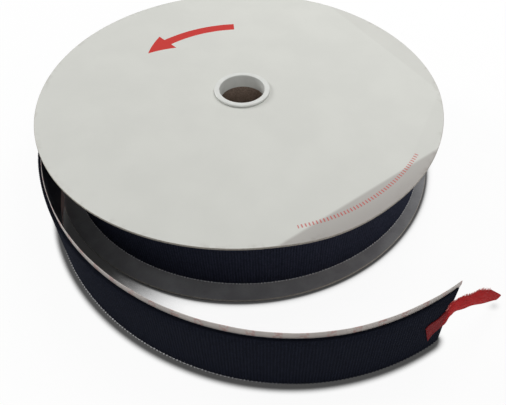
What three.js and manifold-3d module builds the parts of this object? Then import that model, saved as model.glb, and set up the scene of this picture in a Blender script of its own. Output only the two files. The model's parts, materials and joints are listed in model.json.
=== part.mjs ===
// A reel of self-adhesive hook tape.
// Two card flanges stand on a kraft core tube and are held by push-in plastic bushes. The tape is wound
// between them with its release liner on the inside. The last turn leaves the reel on one side, and the
// loose end stands on edge on the table and sweeps round the front, with a red pull tab stuck on its tip.
// Millimetres, +Z up. The reel's axis is the Z axis and the reel lies on z = 0.

import * as THREE from 'three';
import { mergeVertices } from 'three/addons/utils/BufferGeometryUtils.js';
import Module from 'manifold-3d';

const wasm = await Module();
wasm.setup();

// Tape and liner
const tapeWidth = 50;
const tapeThickness = 1.8;
const linerThickness = 0.3;
const adhesiveCoat = 0.3;

// Gaps between pieces that touch, and at the lines where the liner and the tab bend away
const fitClearance = 0.3;
const foldGap = 0.8;

// Reel
const woundDiameter = 279;
const flangeDiameter = 300;
const flangeThickness = 1.5;
const tapeSidePlay = 3;
const coreWall = 4.8;

// Bushes
const boreDiameter = 34;
const bushWall = 1.8;
const bushLength = 10.4;
const collarDiameter = 42;
const collarThickness = 1.6;
const collarRounding = 0.7;
const mouthChamfer = 0.5;
const leadInLength = 2;
const leadInDepth = 0.6;

// Folds in the upper flange: chords whose outer segment hangs a little
const creases = [
  { direction: 26.6, distance: 130, drop: 1 },
  { direction: -56.2, distance: 132.4, drop: 2 },
];
const creaseLap = 0.6;

// Winding, in degrees counted anticlockwise from +X as the tape runs outwards.
// The last turn is a little over one round, so that its start lies under the run-off.
const runOffAngle = 164;
const lastTurnAngle = 390;

// Loose end: bends that follow on from the last turn, each a radius and a length
const looseBends = [
  { radius: 600, length: 20 },
  { radius: 184, length: 260 },
  { radius: 165, length: 153 },
];
const looseLean = 2.2;
const leanRun = 60;
const tipLean = 3.3;
const tipLeanRun = 90;
const settleRun = 12;
const endSlant = 4;
const linerLip = 5.5;
const linerFlapLength = 45;
const linerOverhang = 1.5;

// Pull tab: its lower and upper edge, as distances past the tape's end and heights above the table.
// It is stuck as far as the tape's end, where it is gathered, and bends at one of these pairs of points.
// From there it swings out a little as it falls to the table.
const tabThickness = 0.5;
const tabFoldPoint = 5;
const tabSwing = 2;
const tabEdges = [
  { low: [-10.5, 12], high: [-18.5, 34.5] },
  { low: [-8, 18.5], high: [-11, 34.3] },
  { low: [-4, 21], high: [-6, 34.5] },
  { low: [0, 23.5], high: [-1, 35.5] },
  { low: [4, 25.3], high: [1.5, 39.5] },
  { low: [10, 25.6], high: [7, 40.5] },
  { low: [20, 22.5], high: [16, 37.5] },
  { low: [32, 17], high: [27, 33.5] },
  { low: [43, 10.5], high: [37, 27.5] },
  { low: [52, 4.5], high: [45, 20] },
];

// Facets
const roundSteps = 96;
const bushSteps = 60;
const arcSteps = 4;
const looseStep = 7;
const tabSteps = 24;

// Sizes worked out from the above
const boreRadius = boreDiameter / 2;
const spigotRadius = boreRadius + bushWall;
const collarRadius = collarDiameter / 2;
const holeRadius = spigotRadius + fitClearance;
const coreRadius = holeRadius + coreWall;
const flangeRadius = flangeDiameter / 2;
const woundRadius = woundDiameter / 2;
const windingPitch = tapeThickness + adhesiveCoat + linerThickness + fitClearance;
const linerDepth = tapeThickness + adhesiveCoat;
const firstAngle = runOffAngle - lastTurnAngle;
const turnEndAngle = runOffAngle - THREE.MathUtils.radToDeg(fitClearance / woundRadius);
const packRadius = tapeFaceRadius(firstAngle) - linerDepth - linerThickness - fitClearance;
const looseLength = looseBends.reduce((sum, bend) => sum + bend.length, 0);
const flapStart = looseLength - linerFlapLength;

// Heights, from the table up
const lowerFlangeBottom = collarThickness + fitClearance;
const lowerFlangeTop = lowerFlangeBottom + flangeThickness;
const tapeBottom = lowerFlangeTop + fitClearance;
const upperFlangeBottom = tapeBottom + tapeWidth + tapeSidePlay;
const upperFlangeTop = upperFlangeBottom + flangeThickness;
const coreBottom = lowerFlangeTop + fitClearance;
const coreTop = upperFlangeBottom - fitClearance;
const upperCollarBottom = upperFlangeTop + fitClearance;

// Materials
const card = new THREE.MeshStandardMaterial({ color: 0xd4d5cf, roughness: 0.85, metalness: 0 });
const plastic = new THREE.MeshStandardMaterial({ color: 0xe1e2de, roughness: 0.45, metalness: 0 });
const kraft = new THREE.MeshStandardMaterial({ color: 0x6e5a4c, roughness: 0.95, metalness: 0 });
const hookTape = new THREE.MeshStandardMaterial({ color: 0x16181c, roughness: 0.8, metalness: 0 });
const liner = new THREE.MeshStandardMaterial({ color: 0xb9b0a8, roughness: 0.6, metalness: 0 });
const redTape = new THREE.MeshStandardMaterial({ color: 0xb22428, roughness: 0.7, metalness: 0 });

// A closed outline of [radius, height] points, listed anticlockwise, turned about the Z axis
function revolve(outline, steps) {
  const points = [...outline, outline[0]].map(([radius, height]) => new THREE.Vector2(radius, height));
  return new THREE.LatheGeometry(points, steps).rotateX(Math.PI / 2);
}

// A plain ring between two radii and two heights
function ring(innerRadius, outerRadius, bottom, top, steps) {
  const outline = [[innerRadius, bottom], [outerRadius, bottom], [outerRadius, top], [innerRadius, top]];
  return revolve(outline, steps);
}

function toSolid(geometry) {
  const bare = geometry.clone();
  bare.deleteAttribute('normal');
  bare.deleteAttribute('uv');
  const merged = mergeVertices(bare, 1e-4);
  const vertProperties = new Float32Array(merged.attributes.position.array);
  const triVerts = new Uint32Array(merged.index.array);
  return new wasm.Manifold(new wasm.Mesh({ numProp: 3, vertProperties, triVerts }));
}

function toGeometry(solid) {
  const mesh = solid.getMesh();
  const geometry = new THREE.BufferGeometry();
  geometry.setAttribute('position', new THREE.BufferAttribute(new Float32Array(mesh.vertProperties), 3));
  geometry.setIndex(new THREE.BufferAttribute(new Uint32Array(mesh.triVerts), 1));
  geometry.computeVertexNormals();
  return geometry;
}

// Upper flange: each crease's segment is cut off along its chord, swung down about it and joined again
function creasedFlange() {
  const disc = toSolid(ring(holeRadius, flangeRadius, upperFlangeBottom, upperFlangeTop, roundSteps));
  let flat = disc;
  const segments = [];
  for (const crease of creases) {
    const direction = THREE.MathUtils.degToRad(crease.direction);
    const beyond = (start) => {
      const block = new THREE.BoxGeometry(flangeRadius, 2 * flangeRadius, 4 * flangeThickness);
      block.translate(start + flangeRadius / 2, 0, (upperFlangeBottom + upperFlangeTop) / 2);
      return toSolid(block.rotateZ(direction));
    };
    const segment = toGeometry(disc.intersect(beyond(crease.distance - creaseLap)));
    const swing = Math.atan2(crease.drop, flangeRadius - crease.distance);
    segment.rotateZ(-direction);
    segment.translate(-crease.distance, 0, -upperFlangeTop);
    segment.rotateY(swing);
    segment.translate(crease.distance, 0, upperFlangeTop);
    segment.rotateZ(direction);
    segments.push(toSolid(segment));
    flat = flat.subtract(beyond(crease.distance));
  }
  return toGeometry(segments.reduce((joined, segment) => joined.add(segment), flat));
}

// Push-in bush standing on its collar: a rounded collar, a spigot with a tapered lead-in, and the bore
function bush() {
  const rounding = Array.from({ length: arcSteps + 1 }, (_, step) => {
    const angle = -Math.PI / 2 + step / arcSteps * Math.PI / 2;
    const radius = collarRadius - collarRounding + collarRounding * Math.cos(angle);
    return [radius, collarRounding + collarRounding * Math.sin(angle)];
  });
  const outline = [
    [boreRadius + mouthChamfer, 0],
    ...rounding,
    [collarRadius, collarThickness],
    [spigotRadius, collarThickness],
    [spigotRadius, bushLength - leadInLength],
    [spigotRadius - leadInDepth, bushLength],
    [boreRadius, bushLength],
    [boreRadius, mouthChamfer],
  ];
  return revolve(outline, bushSteps);
}

// Radius of the tape's outer face at an angle along the winding
function tapeFaceRadius(angle) {
  return woundRadius - windingPitch * (runOffAngle - angle) / 360;
}

// A place on the winding: the tape's outer face, its heading, the height of its lower edge and its lean
function placeOnReel(angle) {
  const radians = THREE.MathUtils.degToRad(angle);
  const radius = tapeFaceRadius(angle);
  return {
    x: radius * Math.cos(radians),
    y: radius * Math.sin(radians),
    heading: radians + Math.PI / 2,
    base: tapeBottom,
    leanRate: 0,
    clear: 0,
  };
}

function woundPlaces(from, to) {
  const step = 360 / roundSteps;
  const angles = [from];
  for (let count = Math.floor(from / step) + 1; count * step < to - step / 4; count += 1) {
    if (count * step > from + step / 4) {
      angles.push(count * step);
    }
  }
  return [...angles, to].map(placeOnReel);
}

// A place on the loose end: along its bends, and straight on past its tip.
// It settles from between the flanges on to the table once it is clear of their rims, and leans in a little,
// most at its tip.
function placeOnLooseEnd(distance) {
  const start = placeOnReel(runOffAngle);
  let { x, y, heading } = start;
  let left = distance;
  for (const { radius, length } of looseBends) {
    const run = Math.min(left, length);
    const turned = heading + run / radius;
    x += radius * (Math.sin(turned) - Math.sin(heading));
    y += radius * (Math.cos(heading) - Math.cos(turned));
    heading = turned;
    left -= run;
  }
  x += left * Math.cos(heading);
  y += left * Math.sin(heading);
  const rim = flangeRadius + windingPitch;
  const clear = THREE.MathUtils.smoothstep(Math.hypot(x, y), rim, rim + settleRun);
  const base = tapeBottom * (1 - clear);
  const nearTip = THREE.MathUtils.smoothstep(distance, looseLength - tipLeanRun, looseLength);
  const settled = THREE.MathUtils.smoothstep(distance, 0, leanRun);
  const lean = settled * THREE.MathUtils.lerp(looseLean, tipLean, nearTip);
  return { x, y, heading, base, leanRate: lean / tapeWidth, clear };
}

function loosePlaces(from, to, spacing) {
  const count = Math.ceil((to - from) / spacing);
  return Array.from({ length: count + 1 }, (_, step) => placeOnLooseEnd(from + (to - from) * step / count));
}

// A strip on edge. Each section has a place, and a lower and an upper edge given as a distance along the
// strip from that place and a height above the tape's lower edge. The strip lies between two offsets
// outwards from the tape's outer face.
function ribbon(sections, innerOffset, outerOffset) {
  const corners = [];
  const triangles = [];
  sections.forEach(({ place, low, high }, index) => {
    const cos = Math.cos(place.heading);
    const sin = Math.sin(place.heading);
    const corner = (offset, edge) => {
      const out = offset - place.leanRate * edge.height;
      corners.push(place.x + out * sin + edge.along * cos);
      corners.push(place.y - out * cos + edge.along * sin);
      corners.push(place.base + edge.height);
    };
    corner(outerOffset, low);
    corner(outerOffset, high);
    corner(innerOffset, high);
    corner(innerOffset, low);
    if (index > 0) {
      const here = 4 * index;
      const before = here - 4;
      for (let side = 0; side < 4; side += 1) {
        const next = (side + 1) % 4;
        triangles.push(before + side, here + next, before + next);
        triangles.push(before + side, here + side, here + next);
      }
    }
  });
  const last = 4 * (sections.length - 1);
  triangles.push(0, 1, 2, 0, 2, 3);
  triangles.push(last, last + 2, last + 1, last, last + 3, last + 2);
  const geometry = new THREE.BufferGeometry();
  geometry.setAttribute('position', new THREE.Float32BufferAttribute(corners, 3));
  geometry.setIndex(triangles);
  geometry.computeVertexNormals();
  return geometry;
}

// Sections of a strip that stands upright, with the top of its last edge moved along by slant
function uprightSections(places, lip, slant) {
  return places.map((place, index) => {
    const height = tapeWidth + lip * place.clear;
    const along = index === places.length - 1 ? slant * height / tapeWidth : 0;
    return { place, low: { along: 0, height: 0 }, high: { along, height } };
  });
}

function tapeStrip(places, slant = 0) {
  return ribbon(uprightSections(places, 0, slant), -tapeThickness, 0);
}

function linerStrip(places, slant = 0) {
  return ribbon(uprightSections(places, linerLip, slant), -linerDepth - linerThickness, -linerDepth);
}

// Pull tab: a strip between its two edges, which climbs the tape's face and falls to the table
const tabLow = new THREE.SplineCurve(tabEdges.map(({ low }) => new THREE.Vector2(...low)));
const tabHigh = new THREE.SplineCurve(tabEdges.map(({ high }) => new THREE.Vector2(...high)));
const tabFoldShare = tabFoldPoint / (tabEdges.length - 1);
const tabRootShare = tabFoldShare - foldGap / tabLow.getLength();

function tabStrip(from, to) {
  const count = Math.ceil((to - from) * tabSteps);
  const shares = Array.from({ length: count + 1 }, (_, step) => from + (to - from) * step / count);
  const sections = shares.map((share) => {
    const low = tabLow.getPoint(share);
    const high = tabHigh.getPoint(share);
    const middle = (low.x + high.x) / 2;
    const place = placeOnLooseEnd(looseLength + middle);
    const swing = tabSwing * THREE.MathUtils.smoothstep(share, tabFoldShare, 1);
    place.x += swing * Math.sin(place.heading);
    place.y -= swing * Math.cos(place.heading);
    const edge = (point) => ({ along: point.x - middle, height: point.y });
    return { place, low: edge(low), high: edge(high) };
  });
  return ribbon(sections, fitClearance, fitClearance + tabThickness);
}

// Least gap between stretches of a wound strip that are more than half a turn apart
function leastSelfGap(places, thickness) {
  let least = Infinity;
  places.forEach((place, index) => {
    for (const other of places.slice(index + roundSteps / 2)) {
      least = Math.min(least, Math.hypot(place.x - other.x, place.y - other.y) - thickness);
    }
  });
  return least;
}

const reel = new THREE.Group();

function addPart(parent, name, geometry, material) {
  const mesh = new THREE.Mesh(geometry, material);
  mesh.name = name;
  parent.add(mesh);
  return mesh;
}

// Reel
addPart(reel, 'core_tube', ring(holeRadius, coreRadius, coreBottom, coreTop, roundSteps), kraft);
const lowerDisc = ring(holeRadius, flangeRadius, lowerFlangeBottom, lowerFlangeTop, roundSteps);
addPart(reel, 'lower_flange', lowerDisc, card);
addPart(reel, 'upper_flange', creasedFlange(), card);
addPart(reel, 'lower_bush', bush(), plastic);
const upperBush = addPart(reel, 'upper_bush', bush(), plastic);
upperBush.rotation.x = Math.PI;
upperBush.position.z = upperCollarBottom + collarThickness;
const packTop = tapeBottom + tapeWidth;
const pack = ring(coreRadius + fitClearance, packRadius, tapeBottom, packTop, roundSteps);
addPart(reel, 'tape_pack', pack, hookTape);

// Last turn
const turnPlaces = woundPlaces(firstAngle, turnEndAngle);
addPart(reel, 'turn_liner', linerStrip(turnPlaces), liner);
addPart(reel, 'turn_tape', tapeStrip(turnPlaces), hookTape);
console.log('least gap between turns of the liner, mm:', leastSelfGap(turnPlaces, linerThickness).toFixed(2));

// Loose end
addPart(reel, 'loose_tape', tapeStrip(loosePlaces(0, looseLength, looseStep), endSlant), hookTape);
addPart(reel, 'loose_liner', linerStrip(loosePlaces(0, flapStart - foldGap, looseStep)), liner);
const flapPlaces = loosePlaces(flapStart, looseLength + linerOverhang, looseStep);
addPart(reel, 'liner_flap', linerStrip(flapPlaces, endSlant), liner);
addPart(reel, 'tab_root', tabStrip(0, tabRootShare), redTape);
addPart(reel, 'tab_tail', tabStrip(tabFoldShare, 1), redTape);

export default reel;
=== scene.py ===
# Looks of a reel of black hook tape: two white card flanges on a kraft core with plastic bushes, and the
# loose end of the tape standing on edge in front, with its release liner and a red pull tab.
# Metres, +Z up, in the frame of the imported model: the reel's axis is the Z axis and the floor is z = 0.
import json
import math
from collections import namedtuple

import bmesh
import bpy
import numpy as np
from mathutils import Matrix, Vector

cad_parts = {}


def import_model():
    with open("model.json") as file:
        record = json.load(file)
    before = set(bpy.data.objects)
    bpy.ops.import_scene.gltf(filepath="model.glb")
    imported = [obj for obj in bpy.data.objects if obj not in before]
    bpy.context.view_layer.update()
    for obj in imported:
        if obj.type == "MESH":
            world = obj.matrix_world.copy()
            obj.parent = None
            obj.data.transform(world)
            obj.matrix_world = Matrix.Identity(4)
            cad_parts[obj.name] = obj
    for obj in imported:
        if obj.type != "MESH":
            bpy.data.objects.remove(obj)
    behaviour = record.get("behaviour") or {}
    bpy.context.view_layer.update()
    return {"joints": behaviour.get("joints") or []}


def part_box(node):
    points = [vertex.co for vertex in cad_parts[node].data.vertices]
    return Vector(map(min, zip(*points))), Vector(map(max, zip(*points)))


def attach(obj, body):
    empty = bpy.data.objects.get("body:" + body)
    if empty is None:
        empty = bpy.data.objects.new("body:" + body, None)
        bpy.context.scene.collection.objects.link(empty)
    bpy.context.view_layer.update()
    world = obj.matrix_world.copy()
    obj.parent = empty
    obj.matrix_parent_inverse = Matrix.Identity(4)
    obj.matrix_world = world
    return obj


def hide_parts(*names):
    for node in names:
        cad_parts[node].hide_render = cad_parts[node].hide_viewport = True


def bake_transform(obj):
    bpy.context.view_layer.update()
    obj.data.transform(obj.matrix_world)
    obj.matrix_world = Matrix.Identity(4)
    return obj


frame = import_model()
scene = bpy.context.scene

Lamp = namedtuple("Lamp", "place width share")
Shadow = namedtuple("Shadow", "reach full gone depth")
Crease = namedtuple("Crease", "direction distance slope far_slope soil")
Places = namedtuple("Places", "x y heading base lean clear")

# Camera: where it stands, how it is turned about X, Y and Z in degrees, its lens in millimetres, its shift,
# and the least distance that it sees
CAMERA_PLACE = (0.0, -0.3255, 0.2909)
CAMERA_TURN = (38.85, -0.91, -4.16)
CAMERA_LENS = 36.22
CAMERA_SHIFT = (-0.050, 0.059)
CAMERA_NEAR = 0.01

# Light: a soft box high at the back right, one lower at the back left, one at the front, and an even fill.
# A lamp's share is what it adds to the light on the reel's top.
LAMPS = (
    Lamp((0.38, 0.43, 0.85), 0.7, 0.42),
    Lamp((-1.70, 1.10, 1.00), 0.8, 0.20),
    Lamp((0.20, -1.30, 0.80), 0.8, 0.085),
)
LAMP_TARGET = (0.0, 0.0, 0.06)
FILL_LEVEL = 0.30

# Floor: how much of its white is its own, and the shadows it fades into close to the object and in its gaps.
# A shadow has the reach of what shades a point, the open shares of the sky where it is full and gone, and
# the light left where it is full.
FLOOR_SIZE = 8.0
FLOOR_GLOW = 0.93
SHADOWS = (
    Shadow(0.008, 0.72, 0.99, 0.05),
    Shadow(0.02, 0.57, 0.73, 0.05),
    Shadow(0.06, 0.32, 0.50, 0.018),
)
SHADOW_SAMPLES = 64

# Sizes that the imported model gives
pack_low, pack_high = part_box("tape_pack")
core_low, core_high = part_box("core_tube")
lower_disc_low, lower_disc_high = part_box("lower_flange")
upper_disc_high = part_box("upper_flange")[1]
lower_bush_low, lower_bush_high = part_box("lower_bush")
upper_bush_low, upper_bush_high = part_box("upper_bush")
hinges = {joint["name"]: joint for joint in frame["joints"]}
FLANGE_RADIUS = lower_disc_high.x
CARD = lower_disc_high.z - lower_disc_low.z
TAPE_BOTTOM = pack_low.z
TAPE_WIDTH = pack_high.z - pack_low.z

# Meshes: the angle past which an edge stays sharp, and the steps in a rounding
SHARP_EDGE = math.radians(40)
ROUNDING_STEPS = 6

# Flanges: hole, cut edge and its plies, how the card warps and sags more and more towards the rim, where the
# rim is worn, and the rings of points on a face, which lie closer near the rim
HOLE_RADIUS = 0.0191
CARD_EDGE = 0.0003
CARD_EDGE_STEPS = 3
PLIES = 3
PLY_GROOVE = 0.00012
CARD_WARP = 0.00025
WARP_WAVES = 3
WARP_PHASE = 0.6
WARP_POWER = 3
CARD_SAG = 0.0014
SAG_TOWARDS = math.radians(-125)
RIM_WEAR = (0.145, 0.1498)
FACE_RINGS = 16
RIM_BAND = 0.112
RIM_RING_STEP = 0.0015
DISC_STEPS = 384

# Creases in the upper flange: direction in degrees, distance of the fold from the axis, slope beyond it at
# its left and right, and the painted shade on the card beyond it. CREASE_TWIST is where along a fold the
# one slope passes into the other, and the last constant here the share of the painted shade at the fold.
CREASES = (
    Crease(26.6, 0.130, 0.045, 0.045, 0.07),
    Crease(-28.7, 0.1351, 0.030, 0.030, 0.03),
    Crease(-56.2, 0.1324, 0.170, 0.040, 0.47),
)
CREASE_TWIST = (-0.041, 0.021)
CREASE_SOFTNESS = 0.0008
CREASE_FOLD_PAINTED_SHADE = 0.75

# Print on the upper flange: an arrow for the way the tape comes off, and a row of ticks at the rim. Angles
# are in radians, and the arrow's are those of its tail, neck and tip.
ARROW_RADIUS = 0.092
ARROW_SHAFT = 0.0045
ARROW_HEAD = 0.0115
ARROW_ANGLES = (1.62, 2.28, 2.52)
TICK_RADIUS = 0.1385
TICK_HEIGHT = 0.0013
TICK_STEP = math.radians(1.0)
TICK_SHARE = 0.4
TICK_ANGLES = (-1.36, -0.58)
TICK_STRENGTH = 0.7

# Bushes and core: radii, the collar's thickness and roundings, the taper that leads the spigot in with its
# length, and the lead, depth and width of the core's spiral groove
BORE_RADIUS = 0.017
SPIGOT_RADIUS = 0.0188
COLLAR_THICKNESS = 0.0016
COLLAR_ROUNDING = 0.0007
MOUTH_ROUNDING = 0.0006
EDGE_BREAK = 0.0003
LEAD_IN = (0.0006, 0.002)
TURNED_STEPS = 128
CORE_LEVELS = 60
CORE_LEAD = 0.045
CORE_GROOVE = 0.0004
CORE_GROOVE_SHARE = 0.035

# Winding and route of the loose end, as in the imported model: each bend has a radius and a length, and the
# loose end leans in, most at its tip. The last turn is slack, most to one side.
RUN_OFF = math.radians(164)
WOUND_RADIUS = 0.1395
WINDING_PITCH = 0.0027
LAST_TURN = math.radians(390)
TURN_SLACK = 0.0043
SLACK_TOWARDS = math.radians(-20)
SLACK_POWER = 4
LOOSE_BENDS = ((0.600, 0.020), (0.184, 0.260), (0.165, 0.153))
LOOSE_LENGTH = sum(length for _, length in LOOSE_BENDS)
LOOSE_LEAN = 0.0022
LEAN_RUN = 0.060
TIP_LEAN = 0.0042
TIP_LEAN_RUN = 0.090
SETTLE_RUN = 0.012
END_RUN = 0.02
PATH_POINTS = 60

# Tape: ribs of hooks across the outer face, adhesive on the back, and stitches along the lower edge. On the
# last turn the stitches start a little way on from where the loose end lies over it.
RIB_PITCH = 0.00188
RIB_DEPTH = 0.00035
RIB_SHADE = 0.42
RIB_WANDER = 0.00012
RIB_SECTION = (0.0, 1.0, 1.0, 0.0)
RIB_LEVELS = 7
HOOK_PITCH = 0.0009
TAPE_EDGE = 0.0004
TAPE_EDGE_DEPTH = 0.0005
ADHESIVE_BACK = 0.00205
# The next run is where the painted light on the reel's tape gives way to the loose end's colour
TAPE_PAINTED_LIGHT_FADE = (0.0, 0.13)
END_OVERRUN = 0.001
CORNER_START = 0.040
CORNER_REACH = 0.005
CORNER_BACK = 0.0012
STITCH_PITCH = 0.0024
STITCH_RADIUS = 0.00055
STITCH_DEPTH = 0.0001
STITCH_LEAST = 0.05
STITCH_WEAR = (0.24, 0.36)
STITCH_CLEAR = 0.03
STITCH_STEPS = 6
STITCH_SIDES = 6

# Edges of the turns under the last one: the liner's edge lies deeper than the tape's
LINER_EDGE_SHARE = 0.14
TAPE_EDGE_SHARES = (0.20, 0.94)
LINER_EDGE_DEPTH = 0.0006

# Liner: its place behind the tape, the lip above the tape and the foot that curls in below, the flap at its
# end that can come away, and the levels of its points as shares of the tape's width and of the lip
LINER_DEPTH = 0.0021
LINER_THICKNESS = 0.0003
LINER_LIP = 0.0048
LINER_LIP_CURL = 0.0001
LINER_LIP_FALL = 0.0014
LINER_FALL_RUN = 0.05
LINER_CURL_RUN = 0.021
LINER_WAVE = 0.0002
LINER_WAVE_RUNS = (0.0061, 0.0172)
LINER_OVERHANG = 0.0025
LINER_CORNER = 0.006
LINER_FLAP = 0.045
LINER_STUCK_RUN = 0.030
LINER_STUCK_WANDER = 0.025
LINER_FOOT = 0.0022
LINER_FOOT_HEIGHT = 0.0015
LINER_FOOT_PLACE = 0.097
LINER_FOOT_RUN = 0.014
LINER_LEVELS = (0.25, 0.5, 0.75, 1.0)
LINER_LIP_LEVELS = (0.35, 0.7, 1.0)
LINER_STEP = 0.003
LINER_FOLD = 0.005
TURN_LINER_STEPS = 300

# Faint marks on the liner, in rows that are shifted against each other by a share of the pitch
MARK_PITCH = 0.0145
MARK_ROW = 0.011
MARK_STAGGER = 0.43

# Pull tab: pairs of points on its lower and upper edge, each a distance past the tape's end and a height.
# TAB_FREE, TAB_WAIST and TAB_POINT_START are shares of its length, and TAB_POINT_PLACE is one of its width.
TAB_EDGES = (
    ((-0.0104, 0.0111), (-0.0159, 0.0283)),
    ((-0.0078, 0.0162), (-0.0130, 0.0312)),
    ((-0.0034, 0.0184), (-0.0079, 0.0316)),
    ((0.0003, 0.0205), (-0.0041, 0.0339)),
    ((0.0020, 0.0243), (-0.0007, 0.0363)),
    ((0.0055, 0.0256), (0.0010, 0.0394)),
    ((0.0118, 0.0244), (0.0055, 0.0399)),
    ((0.0222, 0.0203), (0.0156, 0.0372)),
    ((0.0357, 0.0135), (0.0269, 0.0335)),
    ((0.0538, 0.0026), (0.0398, 0.0250)),
)
TAB_THICKNESS = 0.0005
TAB_CLEARANCE = 0.0001
TAB_FREE = (0.42, 0.62)
TAB_SWING = 0.0015
TAB_WAIST = 0.40
TAB_WAIST_RUN = 0.10
TAB_PLEAT = 0.0006
TAB_PLEATS = 2.5
TAB_BOW = 0.001
TAB_RIPPLE = 0.00025
TAB_RIPPLE_RATES = (37, 3)
TAB_FRAY = 0.0005
TAB_POINT = 0.009
TAB_POINT_PLACE = 0.50
TAB_POINT_START = 0.8
TAB_TEAR = 0.0006
TAB_STEPS = 120
TAB_COLUMNS = 13
TAB_FOLD = 0.004
TAB_COLOUR_RUN = 0.003
WEAVE_PITCH = 0.0008
STREAK_STRETCH = (0.12, 1.0, 1.0)

# Loose fibres on the tab's upper edge, each a prism that is thinner at its tip by the taper
FIBRE_COUNT = 700
FIBRE_SIDES = 3
FIBRE_TAPER = 3
FIBRE_END = 0.98
FIBRE_LENGTH = (0.0008, 0.0026)
FIBRE_RADIUS = 0.00015
FIBRE_SPREAD = 0.7
FIBRE_ROOT = 0.0004

# Colours, as linear values
CARD_WHITE = (0.653, 0.658, 0.617)
# The next colour is the painted shade on the card past the creases
CARD_PAINTED_SHADE = (0.08, 0.03, 0.03)
CARD_CORE = (0.46, 0.43, 0.38)
# The next colour, of the flanges' inner faces, is darker as painted shade between the flanges
BOARD_GREY_PAINTED_SHADE = (0.315, 0.315, 0.325)
PLASTIC_WHITE = (0.70, 0.71, 0.68)
KRAFT_BROWN = (0.31, 0.235, 0.19)
TAPE_BLACK = (0.0096, 0.0115, 0.0200)
# The next colour is the tape's on the reel, lighter as painted light in the shade of the flanges
TAPE_WOUND_PAINTED_LIGHT = (0.0270, 0.0310, 0.0510)
TAPE_DUST = (0.10, 0.10, 0.11)
ADHESIVE_DARK = (0.020, 0.020, 0.022)
THREAD_PALE = (0.75, 0.75, 0.77)
LINER_PAPER = (0.50, 0.46, 0.43)
# The next colour is painted light on the liner's foot, where light falls past the flange's rim
LINER_FOOT_PAINTED_LIGHT = (0.85, 0.62, 0.58)
# The next colour darkens the liner's stuck part below its lip
LINER_STUCK_DARK = (0.10, 0.11, 0.14)
LINER_MARK = (0.40, 0.20, 0.18)
RED_BRIGHT = (0.56, 0.018, 0.020)
RED_STUCK = (0.20, 0.012, 0.015)
RED_SHADE = (0.14, 0.006, 0.008)
RED_WORN = (0.66, 0.050, 0.046)
RED_FIBRE = (0.62, 0.30, 0.28)
PRINT_RED = (0.52, 0.022, 0.016)
FLOOR_WHITE = (0.97, 0.97, 0.97)

# Shader nodes: the places of a mix node's share, two colours and result, because its sockets have the same
# names, and the range that holds most of a noise's values
MIX_INPUTS = (0, 6, 7)
MIX_OUTPUT = 2
GRAIN = (0.3, 0.7)

SEED = 7
random = np.random.default_rng(SEED)


def smooth(value, low, high):
    """Rises gently from 0 at low to 1 at high."""
    share = np.clip((value - low) / (high - low), 0, 1)
    return share * share * (3 - 2 * share)


# Places along the tape: its outer face, heading, lower edge, lean, and how clear of the reel it is


def reel_places(distances):
    """Places on the last turn, at distances below 0, counted back from where it leaves the reel."""
    angles = RUN_OFF + distances / WOUND_RADIUS
    slack = TURN_SLACK * ((1 + np.cos(angles - SLACK_TOWARDS)) / 2) ** SLACK_POWER
    radius = WOUND_RADIUS - WINDING_PITCH * (RUN_OFF - angles) / math.tau + slack
    none = np.zeros_like(angles)
    x = radius * np.cos(angles)
    y = radius * np.sin(angles)
    return Places(x, y, angles + math.pi / 2, none + TAPE_BOTTOM, none, none)


def loose_places(distances):
    """Places on the loose end, and straight on past its tip, at distances from where it leaves the reel."""
    x = WOUND_RADIUS * math.cos(RUN_OFF)
    y = WOUND_RADIUS * math.sin(RUN_OFF)
    heading = np.full_like(distances, RUN_OFF + math.pi / 2)
    left = distances.copy()
    for radius, length in LOOSE_BENDS:
        run = np.minimum(left, length)
        turned = heading + run / radius
        x = x + radius * (np.sin(turned) - np.sin(heading))
        y = y + radius * (np.cos(heading) - np.cos(turned))
        heading = turned
        left = left - run
    x = x + left * np.cos(heading)
    y = y + left * np.sin(heading)
    rim = FLANGE_RADIUS + WINDING_PITCH
    clear = smooth(np.hypot(x, y), rim, rim + SETTLE_RUN)
    near_tip = smooth(distances, LOOSE_LENGTH - TIP_LEAN_RUN, LOOSE_LENGTH)
    lean = (LOOSE_LEAN + (TIP_LEAN - LOOSE_LEAN) * near_tip) * smooth(distances, 0, LEAN_RUN)
    return Places(x, y, heading, TAPE_BOTTOM * (1 - clear), lean / TAPE_WIDTH, clear)


def run_places(distances):
    """Places on the last turn for distances up to 0, and on the loose end for those that run on past it."""
    return loose_places(distances) if distances[-1] > 0 else reel_places(distances)


def beside(places, along, out, height):
    """Points beside places, a row for each: along, out from the face, and up from the lower edge."""
    sin = np.sin(places.heading)[:, None]
    cos = np.cos(places.heading)[:, None]
    out = out - places.lean[:, None] * height
    x = places.x[:, None] + out * sin + along * cos
    y = places.y[:, None] - out * cos + along * sin
    return np.stack([x, y, places.base[:, None] + height], axis=-1)


def near_end(distances):
    """0 along the tape and 1 at its end."""
    return smooth(distances, LOOSE_LENGTH - END_RUN, LOOSE_LENGTH)[:, None]


def corner(distances, height):
    """0 along the tape and 1 at the upper corner of its end."""
    return near_end(distances) * np.clip((height - CORNER_START) / (TAPE_WIDTH - CORNER_START), 0, 1)


# Meshes


def piece(name, points, faces, materials, face_materials=None, strip=None):
    """A new object from points and faces, with its faces turned out and its sharp edges kept."""
    mesh = bpy.data.meshes.new(name)
    mesh.from_pydata(points.reshape(-1, 3).tolist(), [], faces)
    if strip is not None:
        attribute = mesh.attributes.new("strip", "FLOAT_VECTOR", "POINT")
        attribute.data.foreach_set("vector", strip.astype(np.float32).ravel())
    for material in materials:
        mesh.materials.append(material)
    if face_materials is not None:
        mesh.polygons.foreach_set("material_index", face_materials)
    shape = bmesh.new()
    shape.from_mesh(mesh)
    bmesh.ops.recalc_face_normals(shape, faces=shape.faces)
    shape.to_mesh(mesh)
    shape.free()
    mesh.shade_smooth()
    mesh.set_sharp_from_angle(angle=SHARP_EDGE)
    obj = bpy.data.objects.new(name, mesh)
    scene.collection.objects.link(obj)
    return obj


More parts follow.
